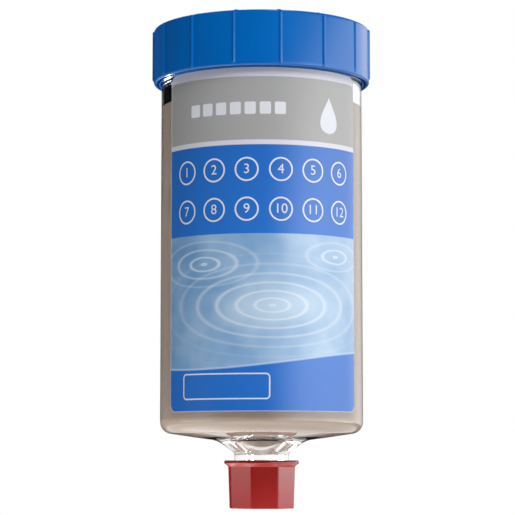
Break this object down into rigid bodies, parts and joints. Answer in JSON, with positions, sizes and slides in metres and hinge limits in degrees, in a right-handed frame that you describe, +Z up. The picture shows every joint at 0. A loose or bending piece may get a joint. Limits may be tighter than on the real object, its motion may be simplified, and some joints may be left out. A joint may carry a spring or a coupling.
{
  "type": "automatic lubricator",
  "caption": "Single-point gas-driven lubricator: clear grease container with piston, setting dial in a ribbed top ring, threaded outlet closed by a screw plug.",
  "frame": {"origin": "centre of the outlet thread's end face", "axes": "+Z up along the container, away from the outlet; -Y is the front of the label"},
  "size_m": [0.0542, 0.0541, 0.1195],
  "materials": {
    "clear_plastic": "clear moulded",
    "label_print": "printed film",
    "grease": "soft, wet against the wall",
    "piston_black": "moulded",
    "seal_rubber": "moulded",
    "plug_red": "moulded",
    "ring_blue": "satin moulded",
    "housing_grey": "moulded",
    "scale_white": "printed",
    "dial_blue": "satin moulded",
    "pointer_white": "moulded",
    "clip_steel": "spring steel",
    "contact_brass": "rolled strip",
    "board_green": "lacquered",
    "chip_black": "moulded",
    "cell_steel": "plated can",
    "membrane_white": "porous film"
  },
  "bodies": {
    "body": {"container": "clear_plastic", "label": "label_print", "grease_charge": "grease", "top_ring": "ring_blue", "cover_gasket": "seal_rubber", "drive_housing": "housing_grey", "dial_scale": "scale_white", "circuit_board": "board_green", "board_chips": "chip_black", "gas_cell": "cell_steel", "battery_cell": "cell_steel", "lower_contact": "contact_brass", "upper_contacts": "contact_brass", "cell_tray": "piston_black", "vent_membrane": "membrane_white"},
    "piston": {"piston": "piston_black", "piston_seal_lower": "seal_rubber", "piston_seal_upper": "seal_rubber"},
    "dial": {"setting_dial": "dial_blue", "dial_pointer": "pointer_white", "dial_seal_ring": "seal_rubber", "dial_clip": "clip_steel", "switch_rotor": "piston_black", "wiper_contact": "contact_brass"},
    "washer": {"plug_washer": "seal_rubber"},
    "plug": {"outlet_plug": "plug_red"}
  },
  "joints": [
    {"name": "dial_turn", "type": "hinge", "parent": "body", "child": "dial", "pos_m": [0, 0, 0.112], "axis": [0, 0, -1], "range_deg": [0, 330]},
    {"name": "piston_travel", "type": "slide", "parent": "body", "child": "piston", "axis": [0, 0, -1], "range_m": [0, 0.0786], "deforming": ["grease_charge"]},
    {"name": "plug_travel", "type": "slide", "parent": "body", "child": "washer", "axis": [0, 0, -1], "range_m": [0, 0.01069]},
    {"name": "plug_turn", "type": "hinge", "parent": "washer", "child": "plug", "pos_m": [0, 0, 0], "axis": [0, 0, -1], "range_deg": [0, 2881]}
  ],
  "couplings": [
    {"joint": "plug_turn", "follows": "plug_travel", "rad_per_m": 4700}
  ]
}
